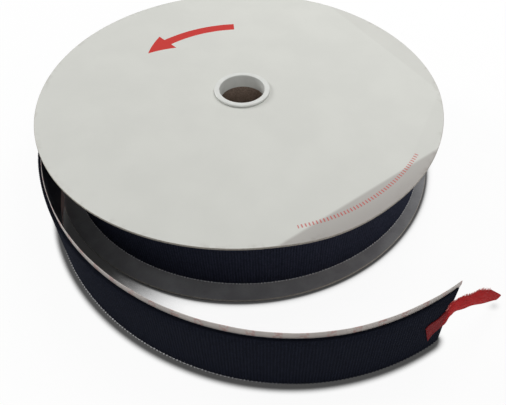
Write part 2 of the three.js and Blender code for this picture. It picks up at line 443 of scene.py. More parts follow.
def loft_faces(count, around, closed, first=0):
    """Faces through rings of points. A run that doesn't close on itself has a face at each end."""
    index = first + np.arange(count * around).reshape(count, around)
    here = index if closed else index[:-1]
    ahead = np.roll(index, -1, axis=0) if closed else index[1:]
    sides = np.stack([here, np.roll(here, -1, axis=1), np.roll(ahead, -1, axis=1), ahead], axis=-1)
    faces = sides.reshape(-1, 4).tolist()
    if not closed:
        faces.append(index[0][::-1].tolist())
        faces.append(index[-1].tolist())
    return faces


def round_sheet(front, back):
    """Rings round a sheet: each row of its front, then the same row of its back the other way."""
    return np.concatenate([front, back[:, ::-1]], axis=1)


def arc(centre, radius, start, end, steps=ROUNDING_STEPS):
    """Points of an arc in a turned outline, from one angle in degrees to another."""
    angles = np.radians(np.linspace(start, end, steps + 1))
    return [(centre[0] + radius * math.cos(a), centre[1] + radius * math.sin(a)) for a in angles]


def turn(outline, steps):
    """Rings of points of an outline of radii and heights turned about the Z axis."""
    radii, heights = np.array(outline).T
    angles = np.linspace(0, math.tau, steps, endpoint=False)[:, None]
    return np.stack([radii * np.cos(angles), radii * np.sin(angles), heights + 0 * angles], axis=-1)


def spline(points, shares):
    """Points of a smooth curve through given points, at shares of its run."""
    place = shares * (len(points) - 1)
    first = np.minimum(place.astype(int), len(points) - 2)
    weight = (place - first)[:, None]
    ends = np.concatenate([points[:1], points, points[-1:]])
    before, start, end, after = (ends[first + step] for step in range(4))
    leave = (end - before) / 2
    arrive = (after - start) / 2
    cubic = 2 * start - 2 * end + leave + arrive
    square = 3 * end - 3 * start - 2 * leave - arrive
    return cubic * weight**3 + square * weight**2 + leave * weight + start


# Materials


def shade(colour, factor):
    """A colour made darker or lighter."""
    return tuple(factor * part for part in colour)


class Paint:
    """A material's nodes, with short ways to add them. A value is a number, a colour or a node's output."""

    def __init__(self, name, **fixed):
        self.material = bpy.data.materials.new(name)
        self.material.use_nodes = True
        self.tree = self.material.node_tree
        self.shader = self.tree.nodes["Principled BSDF"]
        for label, value in fixed.items():
            self.give(self.shader.inputs[label.replace("_", " ")], value)

    def give(self, socket, value):
        if isinstance(value, bpy.types.NodeSocket):
            self.tree.links.new(value, socket)
        elif socket.type == "RGBA":
            socket.default_value = (*value, 1)
        else:
            socket.default_value = value

    def add(self, kind, settings=None, **inputs):
        node = self.tree.nodes.new(kind)
        for label, value in (settings or {}).items():
            setattr(node, label, value)
        for label, value in inputs.items():
            self.give(node.inputs[label.replace("_", " ")], value)
        return node

    def math(self, operation, first, second=0.0, third=0.0):
        node = self.add("ShaderNodeMath", {"operation": operation})
        for socket, value in zip(node.inputs, (first, second, third)):
            self.give(socket, value)
        return node.outputs[0]

    def between(self, value, low, high):
        """1 where a value lies between two others, and 0 elsewhere."""
        above = self.math("GREATER_THAN", value, low)
        return self.math("MULTIPLY", above, self.math("LESS_THAN", value, high))

    def ramp(self, value, low, high, bottom=0.0, top=1.0):
        """A value spread from one range to another, held at the ends."""
        names = {"From Min": low, "From Max": high, "To Min": bottom, "To Max": top}
        node = self.add("ShaderNodeMapRange", {"interpolation_type": "SMOOTHSTEP"}, Value=value)
        for label, number in names.items():
            self.give(node.inputs[label], number)
        return node.outputs[0]

    def mix(self, share, first, second):
        """A colour between two others."""
        node = self.add("ShaderNodeMix", {"data_type": "RGBA"})
        for place, value in zip(MIX_INPUTS, (share, first, second)):
            self.give(node.inputs[place], value)
        return node.outputs[MIX_OUTPUT]

    def vary(self, share, colour, first, second):
        """A colour between two of its own shades."""
        return self.mix(share, shade(colour, first), shade(colour, second))

    def noise(self, where, size, detail=2.0):
        """Soft random grain of about a size in metres."""
        return self.add("ShaderNodeTexNoise", Vector=where, Scale=1 / size, Detail=detail).outputs[0]

    def place(self):
        return self.add("ShaderNodeTexCoord").outputs["Object"]

    def strip(self):
        """Distance along a strip, height or distance across it, and distance out."""
        return self.add("ShaderNodeAttribute", {"attribute_name": "strip"}).outputs["Vector"]

    def stretch(self, where, factors):
        node = self.add("ShaderNodeVectorMath", {"operation": "MULTIPLY"})
        self.give(node.inputs[0], where)
        self.give(node.inputs[1], factors)
        return node.outputs[0]

    def axes(self, where):
        return self.add("ShaderNodeSeparateXYZ", Vector=where).outputs

    def wave(self, value, pitch):
        return self.math("SINE", self.math("MULTIPLY", value, math.tau / pitch))

    def bump(self, height, depth):
        node = self.add("ShaderNodeBump", Height=height, Distance=depth)
        self.give(self.shader.inputs["Normal"], node.outputs[0])

    def colour(self, value):
        self.give(self.shader.inputs["Base Color"], value)

    def rough(self, value):
        self.give(self.shader.inputs["Roughness"], value)


def unwind_arrow(paint, radius, angle):
    """A curved arrow that shows which way the tape comes off."""
    tail, neck, tip = ARROW_ANGLES
    off_line = paint.math("ABSOLUTE", paint.math("SUBTRACT", radius, ARROW_RADIUS))
    on_shaft = paint.math("LESS_THAN", off_line, ARROW_SHAFT)
    shaft = paint.math("MULTIPLY", on_shaft, paint.between(angle, tail, neck))
    half = paint.math("MULTIPLY", paint.math("SUBTRACT", tip, angle), ARROW_HEAD / (tip - neck))
    head = paint.math("MULTIPLY", paint.math("LESS_THAN", off_line, half), paint.between(angle, neck, tip))
    return paint.math("MAXIMUM", shaft, head)


def rim_ticks(paint, radius, angle):
    """A plain row of ticks near the rim."""
    off_line = paint.math("ABSOLUTE", paint.math("SUBTRACT", radius, TICK_RADIUS))
    on_line = paint.math("LESS_THAN", off_line, TICK_HEIGHT)
    band = paint.math("MULTIPLY", on_line, paint.between(angle, *TICK_ANGLES))
    share = paint.math("FRACT", paint.math("DIVIDE", angle, TICK_STEP))
    return paint.math("MULTIPLY", band, paint.math("LESS_THAN", share, TICK_SHARE))


def crease_painted_shade(paint, x, y, crease):
    """Painted shade on the card past a crease, deepest at the rim."""
    turned = math.radians(crease.direction)
    across = paint.math("MULTIPLY_ADD", x, math.cos(turned), paint.math("MULTIPLY", y, math.sin(turned)))
    beyond = paint.math("SUBTRACT", across, crease.distance)
    fold_painted_shade = CREASE_FOLD_PAINTED_SHADE * crease.soil
    at_fold = paint.ramp(beyond, -CREASE_SOFTNESS, 2 * CREASE_SOFTNESS, top=fold_painted_shade)
    at_rim = paint.ramp(beyond, 0.0, FLANGE_RADIUS - crease.distance, top=crease.soil - fold_painted_shade)
    return paint.math("ADD", at_fold, at_rim)


def white_card(name, printed):
    """White card, mottled, fibrous and worn at the rim. The upper disc's has painted shade past its creases
    and a red print.
    """
    paint = Paint(name, Specular_IOR_Level=0.3)
    where = paint.place()
    x, y, _ = paint.axes(where)
    radius = paint.math("SQRT", paint.math("ADD", paint.math("MULTIPLY", x, x), paint.math("MULTIPLY", y, y)))
    mottle = paint.ramp(paint.noise(where, size=0.035, detail=4), *GRAIN)
    colour = paint.vary(mottle, CARD_WHITE, 0.98, 1.02)
    worn = paint.ramp(paint.noise(where, size=0.006, detail=5), 0.5, 0.7, top=0.3)
    at_rim = paint.ramp(radius, *RIM_WEAR)
    colour = paint.mix(paint.math("MULTIPLY", at_rim, worn), colour, shade(CARD_CORE, 0.8))
    if printed:
        # Painted shade on the card past each crease
        for crease in CREASES:
            colour = paint.mix(crease_painted_shade(paint, x, y, crease), colour, CARD_PAINTED_SHADE)
        angle = paint.math("ARCTAN2", y, x)
        colour = paint.mix(unwind_arrow(paint, radius, angle), colour, PRINT_RED)
        ticks = paint.math("MULTIPLY", rim_ticks(paint, radius, angle), TICK_STRENGTH)
        colour = paint.mix(ticks, colour, PRINT_RED)
    paint.colour(colour)
    fibre = paint.noise(where, size=0.0006, detail=3)
    paint.rough(paint.ramp(fibre, 0.2, 0.8, bottom=0.55, top=0.70))
    paint.bump(fibre, depth=0.00004)
    return paint.material


def grey_board_painted_shade():
    """Inner face of a flange: grey board with flecks, darker than the white face as painted shade between the
    flanges.
    """
    paint = Paint("grey_board_painted_shade", Roughness=0.92, Specular_IOR_Level=0.15)
    where = paint.place()
    fleck = paint.noise(where, size=0.0011, detail=5)
    cloud = paint.noise(where, size=0.012, detail=3)
    colour = paint.vary(paint.ramp(cloud, *GRAIN), BOARD_GREY_PAINTED_SHADE, 0.90, 1.08)
    paint.colour(paint.mix(paint.ramp(fleck, 0.55, 0.75, top=0.35), colour, shade(BOARD_GREY_PAINTED_SHADE, 0.5)))
    paint.bump(fleck, depth=0.00006)
    return paint.material


def board_edge():
    """Cut edge of the card, in plies."""
    paint = Paint("board_edge", Roughness=0.9, Specular_IOR_Level=0.2)
    where = paint.place()
    plies = paint.wave(paint.axes(where)["Z"], CARD / PLIES)
    speckle = paint.noise(where, size=0.0008, detail=3)
    colour = paint.vary(paint.ramp(plies, -1, 1), CARD_CORE, 0.8, 1.15)
    paint.colour(paint.mix(paint.ramp(speckle, 0.4, 0.7), colour, shade(CARD_CORE, 0.65)))
    paint.bump(speckle, depth=0.00008)
    return paint.material


def white_plastic():
    """Moulded plastic with a faint grain and a little handling dirt."""
    paint = Paint("bush_white", Specular_IOR_Level=0.4)
    where = paint.place()
    cloud = paint.noise(where, size=0.006, detail=4)
    paint.colour(paint.vary(paint.ramp(cloud, 0.35, 0.75), PLASTIC_WHITE, 1.0, 0.92))
    paint.rough(paint.ramp(cloud, *GRAIN, bottom=0.36, top=0.48))
    paint.bump(paint.noise(where, size=0.0004), depth=0.00001)
    return paint.material


def kraft_board():
    """Brown board wound in a spiral, with its fibres."""
    paint = Paint("kraft", Roughness=0.92, Specular_IOR_Level=0.15)
    where = paint.place()
    fibre = paint.noise(where, size=0.0012, detail=6)
    cloud = paint.noise(where, size=0.009, detail=3)
    colour = paint.vary(paint.ramp(fibre, *GRAIN), KRAFT_BROWN, 0.75, 1.2)
    paint.colour(paint.mix(paint.ramp(cloud, 0.35, 0.7, top=0.4), colour, shade(KRAFT_BROWN, 0.55)))
    paint.bump(fibre, depth=0.0001)
    return paint.material


def hook_tape():
    """Black woven tape: hooks over the ribs, grooves dark with dirt and painted shade, a little dust, and
    painted light on the reel.
    """
    paint = Paint("hook_black", Specular_IOR_Level=0.03, Roughness=0.8)
    where = paint.strip()
    along, _, out = paint.axes(where)
    loose = paint.ramp(along, *TAPE_PAINTED_LIGHT_FADE)
    hooks = paint.add("ShaderNodeTexVoronoi", Vector=where, Scale=1 / HOOK_PITCH).outputs["Distance"]
    dots = paint.ramp(hooks, 0.1, 0.6, bottom=1, top=0)
    # Lighter on the reel and just off it: painted light in the flanges' shade
    dark = paint.mix(loose, shade(TAPE_WOUND_PAINTED_LIGHT, 0.7), shade(TAPE_BLACK, 0.7))
    pale = paint.mix(loose, shade(TAPE_WOUND_PAINTED_LIGHT, 1.5), shade(TAPE_BLACK, 1.5))
    colour = paint.mix(dots, dark, pale)
    streak = paint.ramp(paint.noise(where, size=0.004, detail=3), *GRAIN, top=0.35)
    colour = paint.mix(streak, colour, pale)
    # The grooves are darkened partly as dirt and partly as painted shade
    groove = paint.ramp(out, -RIB_DEPTH, 0, bottom=RIB_SHADE, top=0)
    colour = paint.mix(groove, colour, shade(TAPE_BLACK, 0.3))
    dust = paint.ramp(paint.noise(where, size=0.0011), 0.70, 0.80, top=0.10)
    paint.colour(paint.mix(dust, colour, TAPE_DUST))
    paint.bump(dots, depth=0.00025)
    return paint.material


def adhesive():
    """Adhesive on the tape's back: clear and glossy over black."""
    paint = Paint("adhesive", Base_Color=ADHESIVE_DARK, Specular_IOR_Level=0.4)
    ripple = paint.noise(paint.strip(), size=0.003, detail=3)
    paint.rough(paint.ramp(ripple, *GRAIN, bottom=0.18, top=0.38))
    paint.bump(ripple, depth=0.00006)
    return paint.material


def thread():
    """Pale thread of the stitches along the tape's lower edge, worn dark towards the tape's end."""
    paint = Paint("thread_pale", Roughness=0.8, Specular_IOR_Level=0.2)
    where = paint.strip()
    twist = paint.noise(where, size=0.0005)
    colour = paint.vary(paint.ramp(twist, *GRAIN), THREAD_PALE, 0.6, 1.2)
    worn = paint.ramp(paint.axes(where)["X"], *STITCH_WEAR)
    paint.colour(paint.mix(worn, colour, TAPE_BLACK))
    paint.bump(twist, depth=0.00008)
    return paint.material


def release_paper():
    """Release film: pale with faint red marks in staggered rows, painted light along its foot, and dark below
    its lip up to the flap.
    """
    paint = Paint("liner_paper", Specular_IOR_Level=0.35)
    where = paint.strip()
    along, height, _ = paint.axes(where)
    cloud = paint.noise(where, size=0.012, detail=4)
    fine = paint.noise(where, size=0.0007, detail=3)
    colour = paint.vary(paint.ramp(cloud, *GRAIN), LINER_PAPER, 0.90, 1.05)
    row = paint.math("FLOOR", paint.math("DIVIDE", height, MARK_ROW))
    shifted = paint.math("MULTIPLY_ADD", row, MARK_STAGGER * MARK_PITCH, along)
    mark = paint.ramp(paint.wave(shifted, MARK_PITCH), 0.2, 0.7)
    broken = paint.ramp(paint.noise(where, size=0.0022), 0.40, 0.58, top=0.6)
    colour = paint.mix(paint.math("MULTIPLY", mark, broken), colour, LINER_MARK)
    # Painted light along the liner's foot
    colour = paint.mix(paint.math("LESS_THAN", height, LINER_FOOT_HEIGHT), colour, LINER_FOOT_PAINTED_LIGHT)
    stuck_end = LOOSE_LENGTH - LINER_FLAP
    uneven = paint.math("MULTIPLY_ADD", cloud, LINER_STUCK_WANDER, along)
    stuck = paint.ramp(uneven, stuck_end - LINER_STUCK_RUN, stuck_end, bottom=1, top=0)
    # Darker over the stuck part, between the foot and the lip, up to the flap
    dark_stuck = paint.math("MULTIPLY", paint.between(height, LINER_FOOT_HEIGHT, TAPE_WIDTH), stuck)
    paint.colour(paint.mix(dark_stuck, colour, LINER_STUCK_DARK))
    paint.rough(paint.ramp(fine, *GRAIN, bottom=0.42, top=0.55))
    paint.bump(fine, depth=0.00002)
    return paint.material


def red_tape():
    """Red woven tape with streaks along it, dark where it is stuck on black."""
    paint = Paint("tab_red", Roughness=0.75, Specular_IOR_Level=0.12)
    where = paint.strip()
    along, across, _ = paint.axes(where)
    weave = paint.math("MULTIPLY", paint.wave(along, WEAVE_PITCH), paint.wave(across, WEAVE_PITCH))
    streak = paint.noise(paint.stretch(where, STREAK_STRETCH), size=0.0012, detail=3)
    colour = paint.mix(paint.ramp(along, -TAB_COLOUR_RUN, TAB_COLOUR_RUN), RED_STUCK, RED_BRIGHT)
    colour = paint.mix(paint.ramp(weave, -1, 1, top=0.2), colour, RED_SHADE)
    colour = paint.mix(paint.ramp(streak, 0.5, 0.75, top=0.35), colour, RED_SHADE)
    paint.colour(paint.mix(paint.ramp(streak, 0.25, 0.45, bottom=0.30, top=0), colour, RED_WORN))
    paint.bump(weave, depth=0.00012)
    return paint.material


def red_fibre():
    """Loose fibres of the red tape, faded."""
    paint = Paint("tab_fibre", Roughness=0.8, Specular_IOR_Level=0.1)
    fade = paint.noise(paint.place(), size=0.002)
    paint.colour(paint.mix(paint.ramp(fade, *GRAIN), RED_BRIGHT, RED_FIBRE))
    return paint.material


# Pieces of the reel


def crease_drop(x, y):
    """How far the upper flange hangs at a point, past its creases."""
    total = np.zeros_like(x)
    for crease in CREASES:
        turned = math.radians(crease.direction)
        beyond = x * math.cos(turned) + y * math.sin(turned) - crease.distance
        sideways = y * math.cos(turned) - x * math.sin(turned)
        slope = crease.slope + (crease.far_slope - crease.slope) * smooth(sideways, *CREASE_TWIST)
        total += slope * CREASE_SOFTNESS * np.logaddexp(0, beyond / CREASE_SOFTNESS)
    return total


def flange(name, bottom, top, upper):
    """A card disc, white outside and grey board inside as painted shade, a little warped, with plies in its
    cut edge.
    """
    near_rim = np.arange(RIM_BAND + RIM_RING_STEP, FLANGE_RADIUS - CARD_EDGE, RIM_RING_STEP)
    radii = np.concatenate([np.linspace(HOLE_RADIUS, RIM_BAND, FACE_RINGS), near_rim])
    face = [(radius, top) for radius in radii]
    under = [(radius, bottom) for radius in radii[::-1]]
    edge = arc((FLANGE_RADIUS - CARD_EDGE, top - CARD_EDGE), CARD_EDGE, 90, 0, CARD_EDGE_STEPS)
    for ply in range(PLIES - 1, 0, -1):
        level = bottom + ply / PLIES * CARD
        edge += [(FLANGE_RADIUS, level + PLY_GROOVE), (FLANGE_RADIUS - PLY_GROOVE, level)]
        edge += [(FLANGE_RADIUS, level - PLY_GROOVE)]
    edge += arc((FLANGE_RADIUS - CARD_EDGE, bottom + CARD_EDGE), CARD_EDGE, 0, -90, CARD_EDGE_STEPS)
    rings = turn(face + edge + under, DISC_STEPS)
    x, y, z = np.moveaxis(rings, -1, 0)
    angle = np.arctan2(y, x)
    growth = (np.hypot(x, y) / FLANGE_RADIUS) ** WARP_POWER
    z += CARD_WARP * growth * np.sin(WARP_WAVES * angle + WARP_PHASE)
    if upper:
        z -= crease_drop(x, y)
    else:
        z -= CARD_SAG * growth * (1 + np.cos(angle - SAG_TOWARDS)) / 2
    white, cut, painted_shade_board = range(3)
    top_slot, under_slot = (white, painted_shade_board) if upper else (painted_shade_board, white)
    slots = [top_slot] * len(face) + [cut] * (len(edge) - 1) + [under_slot] * len(under) + [cut]
    faces = loft_faces(DISC_STEPS, rings.shape[1], True)
    materials = [white_card(name + "_card", upper), board_edge(), grey_board_painted_shade()]
    return piece(name, rings, faces, materials, np.tile(slots, DISC_STEPS))


def bush(name, seat, tip, rim):
    """A push-in bush: seat is its collar's outer face, tip the end of its spigot, rim its collar's radius."""
    up = 1 if seat > tip else -1
    length = abs(seat - tip)
    taper, taper_length = LEAD_IN
    collar = -COLLAR_THICKNESS
    outline = arc((BORE_RADIUS + MOUTH_ROUNDING, -MOUTH_ROUNDING), MOUTH_ROUNDING, 180, 90)
    outline += arc((rim - COLLAR_ROUNDING, -COLLAR_ROUNDING), COLLAR_ROUNDING, 90, 0)
    outline += [(rim, collar + EDGE_BREAK), (rim - EDGE_BREAK, collar)]
    outline += [(SPIGOT_RADIUS + EDGE_BREAK, collar), (SPIGOT_RADIUS, collar - EDGE_BREAK)]
    outline += [(SPIGOT_RADIUS, taper_length - length), (SPIGOT_RADIUS - taper, -length)]
    outline += [(BORE_RADIUS, -length)]
    outline = [(radius, seat + up * height) for radius, height in outline]
    rings = turn(outline, TURNED_STEPS)
    return piece(name, rings, loft_faces(TURNED_STEPS, len(outline), True), [white_plastic()])


def core():
    """A tube of kraft board with the butt line of its spiral winding sunk inside and outside."""
    levels = np.linspace(core_low.z, core_high.z, CORE_LEVELS)
    outline = [(core_high.x, level) for level in levels] + [(HOLE_RADIUS, level) for level in levels[::-1]]
    rings = turn(outline, TURNED_STEPS)
    x, y, z = np.moveaxis(rings, -1, 0)
    phase = (z / CORE_LEAD + np.arctan2(y, x) / math.tau) % 1.0
    groove = CORE_GROOVE * np.exp(-(((phase - 0.5) / CORE_GROOVE_SHARE) ** 2))
    side = np.where(np.arange(len(outline)) < len(levels), -1, 1)
    rings[..., :2] *= (1 + side * groove / np.hypot(x, y))[..., None]
    return piece("core_board", rings, loft_faces(TURNED_STEPS, len(outline), True), [kraft_board()])


def wound_pack(tape, paper):
    """The turns under the last one: each turn's edge stands out, with the liner's edge sunk beside it."""
    inner = core_high.x + LINER_THICKNESS
    outer = pack_high.x
    turns = round((outer - inner) / WINDING_PITCH)
    pitch = (outer - inner) / turns
    top = []
    for start in inner + pitch * np.arange(turns):
        for share in (0.0, LINER_EDGE_SHARE):
            top.append((start + share * pitch, pack_high.z - LINER_EDGE_DEPTH))
        for share in TAPE_EDGE_SHARES:
            top.append((start + share * pitch, pack_high.z))
    under = [(radius, TAPE_BOTTOM + pack_high.z - height) for radius, height in top[::-1]]
    outline = top + [(outer, pack_high.z - EDGE_BREAK), (outer, TAPE_BOTTOM + EDGE_BREAK)] + under
    rings = turn(outline, TURNED_STEPS)
    tape_slot, paper_slot = range(2)
    above = [paper_slot, tape_slot, tape_slot, tape_slot]
    below = [tape_slot, tape_slot, paper_slot, tape_slot]
    shown = above * turns + [tape_slot] * 2 + below * turns
    faces = loft_faces(TURNED_STEPS, len(outline), True)
    return piece("wound_turns", rings, faces, [tape, paper], np.tile(shown, TURNED_STEPS))


# Tape, liner and tab


def tape_section():
    """Outline of the tape's section: out, height and whether ribs show, and how many points its front has."""
    ribbed = np.linspace(TAPE_EDGE, TAPE_WIDTH - TAPE_EDGE, RIB_LEVELS)
    front = [(-TAPE_EDGE_DEPTH, 0.0, 0)]
    front += [(0.0, height, 1) for height in ribbed]
    front += [(-TAPE_EDGE_DEPTH, TAPE_WIDTH, 0)]
    back = [(-ADHESIVE_BACK, height, 0) for height in (TAPE_WIDTH - EDGE_BREAK, TAPE_WIDTH / 2, EDGE_BREAK)]
    return np.array(front + back).T, len(front)


def tape_strip(name, start, end, materials):
    """Tape between two distances along its run, counted from where it leaves the reel."""
    per_rib = len(RIB_SECTION)
    step = RIB_PITCH / per_rib
    counts = np.arange(math.ceil(start / step), math.floor(end / step) + 1)
    distances = np.concatenate([[start], counts[1:-1] * step, [end]])
    places = run_places(distances)
    (out, height, ribbed), front = tape_section()
    rib = np.array(RIB_SECTION)[counts % per_rib][:, None]
    out = out - RIB_DEPTH * (1 - rib) * ribbed
    height = height + 0 * rib
    wander = random.normal(0, RIB_WANDER, (len(counts) // per_rib + 1, len(ribbed)))
    along = np.repeat(wander, per_rib, axis=0)[: len(counts)] * ribbed
    along[[0, -1]] = 0
    at_corner = corner(distances, height)
    along += END_OVERRUN * near_end(distances) + CORNER_REACH * at_corner
    out = out - CORNER_BACK * at_corner * (1 + out / ADHESIVE_BACK)
    rings = beside(places, along, out, height)
    strip = np.stack([distances[:, None] + along, height, out], axis=-1)
    hooked, sticky = range(2)
    sides = [hooked] * front + [sticky] * (len(ribbed) - front - 1) + [hooked]
    slots = np.append(np.tile(sides, len(distances) - 1), [hooked, hooked])
    return piece(name, rings, loft_faces(len(distances), len(ribbed), False), materials, slots, strip)


def stitches(name, start, end, material):
    """A thread along the tape's lower edge that comes up for each stitch and dips between them."""
    distances = np.arange(start, end, STITCH_PITCH / STITCH_STEPS)
    turns = np.linspace(0, math.tau, STITCH_SIDES, endpoint=False)
    swell = np.clip(np.sin(math.tau * distances / STITCH_PITCH), STITCH_LEAST, 1)[:, None]
    size = STITCH_RADIUS * np.sqrt(swell)
    out = size * np.cos(turns) - STITCH_DEPTH
    height = STITCH_RADIUS + size * np.sin(turns)
    rings = beside(run_places(distances), 0, out, height)
    strip = np.stack([distances[:, None] + 0 * out, height, out], axis=-1)
    faces = loft_faces(len(distances), STITCH_SIDES, False)
    return piece(name, rings, faces, [material], None, strip)


def liner_strip(name, distances, places, material):
    """Release paper behind the tape. Clear of the reel a lip of it stands above the tape, a little curled."""
    below_lip = [0, LINER_FOOT_HEIGHT / TAPE_WIDTH, *LINER_LEVELS]
    share = np.array(below_lip + [1] * len(LINER_LIP_LEVELS))
    lip_share = np.array([0] * len(below_lip) + list(LINER_LIP_LEVELS))
    foot_share = np.eye(len(share))[0]
    wave = LINER_WAVE * np.prod([np.sin(distances / run) for run in LINER_WAVE_RUNS], axis=0)
    fall = LINER_LIP_FALL * smooth(distances, LOOSE_LENGTH - LINER_FALL_RUN, LOOSE_LENGTH)
    rise = ((LINER_LIP + wave - fall) * places.clear)[:, None]
    height = share * TAPE_WIDTH + lip_share * rise
    curl = LINER_LIP_CURL * (1 + np.sin(distances / LINER_CURL_RUN)) * places.clear
    foot = LINER_FOOT * np.exp(-(((distances - LINER_FOOT_PLACE) / LINER_FOOT_RUN) ** 2))
    outer = -LINER_DEPTH - curl[:, None] * lip_share**2 - foot[:, None] * foot_share
    heights = round_sheet(height, height)
    outs = round_sheet(outer, outer - LINER_THICKNESS)
    along = LINER_CORNER * corner(distances, heights)
    rings = beside(places, along, outs, heights)
    strip = np.stack([distances[:, None] + along, heights, outs], axis=-1)
    return piece(name, rings, loft_faces(len(distances), heights.shape[1], False), [material], None, strip)


def tab_edge(side, shares):
    """Points on the pull tab's lower (0) or upper (1) edge: distances past the tape's end, and heights."""
    return spline(np.array([pair[side] for pair in TAB_EDGES]), shares)


def tab_out(shares, across):
    """How far the tab's outer face stands out: pleated where gathered, bowed and swung out where free."""
    free = smooth(shares, *TAB_FREE)
    gathered = np.exp(-(((shares - TAB_WAIST) / TAB_WAIST_RUN) ** 2))
    pleat = TAB_PLEAT * gathered * (1 + np.cos(math.tau * TAB_PLEATS * across)) / 2
    bow = TAB_BOW * free * (0.5 - (2 * across - 1) ** 2)
    along_rate, across_rate = TAB_RIPPLE_RATES
    ripple = TAB_RIPPLE * free * np.sin(along_rate * shares + across_rate * across)
    swing = TAB_SWING * smooth(shares, TAB_FREE[1], 1)
    return TAB_CLEARANCE + TAB_THICKNESS + swing + pleat + bow + ripple


def tab_fibres():
    """Points of the loose fibres on the tab's upper edge: thin prisms that start inside it."""
    shares = np.sort(random.uniform(TAB_FREE[0], FIBRE_END, FIBRE_COUNT))
    root = tab_edge(1, shares)
    inward = tab_edge(0, shares) - root
    inward /= np.linalg.norm(inward, axis=1)[:, None]
    lean = random.normal(0, FIBRE_SPREAD, FIBRE_COUNT)[:, None]
    run = np.stack([-inward[:, 1], inward[:, 0]], axis=1) * lean - inward
    run *= (random.uniform(*FIBRE_LENGTH, FIBRE_COUNT) / np.linalg.norm(run, axis=1))[:, None]
    start = inward * FIBRE_ROOT
    side = np.stack([-run[:, 1], run[:, 0]], axis=1) / np.linalg.norm(run, axis=1)[:, None]
    turns = np.arange(FIBRE_SIDES) * math.tau / FIBRE_SIDES
    spread = np.concatenate([np.cos(turns), np.cos(turns) / FIBRE_TAPER]) * FIBRE_RADIUS
    lift = np.concatenate([np.sin(turns), np.sin(turns) / FIBRE_TAPER]) * FIBRE_RADIUS
    reach = np.repeat([0, 1], FIBRE_SIDES)
    along = start[:, :1] + run[:, :1] * reach + side[:, :1] * spread
    height = (root + start)[:, 1:] + run[:, 1:] * reach + side[:, 1:] * spread
    middle = tab_out(shares, np.ones(FIBRE_COUNT)) - TAB_THICKNESS / 2
    points = beside(loose_places(LOOSE_LENGTH + root[:, 0]), along, middle[:, None] + lift, height)
    return points.reshape(-1, 3)


def pull_tab(materials):
    """Red tape: stuck on the face near the tape's end, gathered there, then free, with a torn point."""
    shares = np.linspace(0, 1, TAB_STEPS)
    across = np.linspace(0, 1, TAB_COLUMNS)
    low = tab_edge(0, shares)
    high = tab_edge(1, shares)
    width = high - low
    frayed = smooth(shares, *TAB_FREE) * random.normal(0, TAB_FRAY, TAB_STEPS)
    high = high + width * (frayed / np.linalg.norm(width, axis=1))[:, None]
    sheet = low[:, None] + across[:, None] * (high - low)[:, None]
    end_run = low[-1] - low[-2]
    end_run /= np.linalg.norm(end_run)
    torn = TAB_POINT * np.interp(across, (0, TAB_POINT_PLACE, 1), (0, 1, 0))
    torn -= random.uniform(0, TAB_TEAR, TAB_COLUMNS)
    sheet = sheet + (smooth(shares, TAB_POINT_START, 1)[:, None] * torn)[..., None] * end_run
    middle = (low[:, 0] + high[:, 0]) / 2
    past_end = round_sheet(sheet[..., 0], sheet[..., 0])
    heights = round_sheet(sheet[..., 1], sheet[..., 1])
    outer = tab_out(shares[:, None], across)
    outs = round_sheet(outer, outer - TAB_THICKNESS)
    places = loose_places(LOOSE_LENGTH + middle)
    rings = beside(places, past_end - middle[:, None], outs, heights).reshape(-1, 3)
    woven = across * np.linalg.norm(high - low, axis=1)[:, None]
    strip = np.stack([past_end, round_sheet(woven, woven), outs], axis=-1).reshape(-1, 3)
    faces = loft_faces(TAB_STEPS, 2 * TAB_COLUMNS, False)
    woven_slot, fibre_slot = range(2)
    slots = [woven_slot] * len(faces)
    fibres = tab_fibres()
    for first in range(len(rings), len(rings) + len(fibres), 2 * FIBRE_SIDES):
        fibre = loft_faces(2, FIBRE_SIDES, False, first)
        faces += fibre
        slots += [fibre_slot] * len(fibre)
    points = np.concatenate([rings, fibres])
    return piece("pull_tab", points, faces, materials, slots, np.concatenate([strip, fibres]))


# Stage


def camera():
    data = bpy.data.cameras.new("camera")
    data.lens = CAMERA_LENS
    data.shift_x, data.shift_y = CAMERA_SHIFT
    data.clip_start = CAMERA_NEAR
    obj = bpy.data.objects.new("camera", data)
    obj.location = CAMERA_PLACE
    obj.rotation_euler = [math.radians(angle) for angle in CAMERA_TURN]
    scene.collection.objects.link(obj)
    scene.camera = obj


def lamp(place, width, share):
    """A soft box pointed at the reel. Its power is what gives its share of light on a level surface there."""
    aim = Vector(LAMP_TARGET) - Vector(place)
    data = bpy.data.lights.new("lamp", "AREA")
    data.shape = "DISK"
    data.size = width
    data.energy = share * math.pi**2 * aim.length**3 / -aim.z
    obj = bpy.data.objects.new("lamp", data)
    obj.location = place
    obj.rotation_euler = aim.to_track_quat("-Z", "Y").to_euler()
    obj.visible_camera = False
    scene.collection.objects.link(obj)


def seen_directly(tree):
    """1 for rays from the camera, reflections and light passed on, 0 for light that falls on things."""
    rays = tree.nodes.new("ShaderNodeLightPath").outputs
    total = rays["Is Camera Ray"]
    for name in ("Is Glossy Ray", "Is Transmission Ray"):
        most = tree.nodes.new("ShaderNodeMath")
        most.operation = "MAXIMUM"
        tree.links.new(total, most.inputs[0])
        tree.links.new(rays[name], most.inputs[1])
        total = most.outputs[0]
    return total


def world():
    made = bpy.data.worlds.new("studio")
    made.use_nodes = True
    scene.world = made
    tree = made.node_tree
    level = tree.nodes.new("ShaderNodeMapRange")
    level.inputs["To Min"].default_value = FILL_LEVEL
    level.inputs["To Max"].default_value = 1.0
    tree.links.new(seen_directly(tree), level.inputs["Value"])
    background = tree.nodes["Background"]
    background.inputs["Color"].default_value = (1, 1, 1, 1)
    tree.links.new(level.outputs[0], background.inputs["Strength"])


